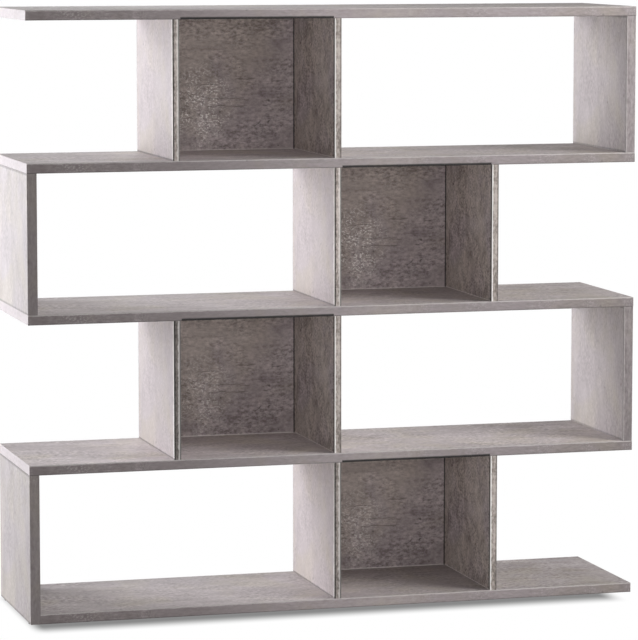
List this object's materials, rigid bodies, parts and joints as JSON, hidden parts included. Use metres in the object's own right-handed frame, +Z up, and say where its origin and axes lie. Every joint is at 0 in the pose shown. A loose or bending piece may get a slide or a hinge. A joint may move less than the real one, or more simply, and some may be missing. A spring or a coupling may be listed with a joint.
{
  "type": "modular bookcase",
  "caption": "Free-standing open bookcase of concrete-effect boards: long shelves on end panels and dividers that change sides row by row, with one back-closed cube in each row.",
  "frame": {"origin": "on the floor, under the middle of the bookcase's box", "axes": "+X to the right along the shelves, +Y from the front to the wall, +Z up"},
  "size_m": [1.6, 0.4, 1.538],
  "materials": {
    "concrete_laminate": "matt concrete-effect melamine on particle board",
    "concrete_edging": "matt concrete-effect edging strip with eased corners",
    "zinc_plated_steel": "bright zinc plating",
    "zinc_casting": "dull die-cast zinc",
    "grey_cap": "matt self-adhesive cap in the colour of the boards",
    "beech": "raw fluted beech",
    "glide_plastic": "dark moulded plastic"
  },
  "bodies": {
    "root": {"top_shelf": "concrete_laminate", "upper_shelf": "concrete_laminate", "middle_shelf": "concrete_laminate", "lower_shelf": "concrete_laminate", "bottom_shelf": "concrete_laminate", "row_1_right_end_panel": "concrete_laminate", "row_2_left_end_panel": "concrete_laminate", "row_3_right_end_panel": "concrete_laminate", "row_4_left_end_panel": "concrete_laminate", "row_1_centre_divider": "concrete_laminate", "row_1_left_divider": "concrete_laminate", "row_2_centre_divider": "concrete_laminate", "row_2_right_divider": "concrete_laminate", "row_3_centre_divider": "concrete_laminate", "row_3_left_divider": "concrete_laminate", "row_4_centre_divider": "concrete_laminate", "row_4_right_divider": "concrete_laminate", "row_1_back_panel": "concrete_laminate", "row_2_back_panel": "concrete_laminate", "row_3_back_panel": "concrete_laminate", "row_4_back_panel": "concrete_laminate", "top_shelf_long_edging": "concrete_edging", "upper_shelf_long_edging": "concrete_edging", "middle_shelf_long_edging": "concrete_edging", "lower_shelf_long_edging": "concrete_edging", "bottom_shelf_long_edging": "concrete_edging", "top_shelf_end_edging": "concrete_edging", "upper_shelf_end_edging": "concrete_edging", "middle_shelf_end_edging": "concrete_edging", "lower_shelf_end_edging": "concrete_edging", "bottom_shelf_end_edging": "concrete_edging", "row_1_right_end_panel_edging": "concrete_edging", "row_2_left_end_panel_edging": "concrete_edging", "row_3_right_end_panel_edging": "concrete_edging", "row_4_left_end_panel_edging": "concrete_edging", "row_1_centre_divider_edging": "concrete_edging", "row_1_left_divider_edging": "concrete_edging", "row_2_centre_divider_edging": "concrete_edging", "row_2_right_divider_edging": "concrete_edging", "row_3_centre_divider_edging": "concrete_edging", "row_3_left_divider_edging": "concrete_edging", "row_4_centre_divider_edging": "concrete_edging", "row_4_right_divider_edging": "concrete_edging", "cam_bolts": "zinc_plated_steel", "cam_locks": "zinc_casting", "cover_caps": "grey_cap", "shelf_dowels": "beech", "back_panel_dowels": "beech", "floor_glides": "glide_plastic", "glide_nails": "zinc_plated_steel"}
  },
  "joints": []
}
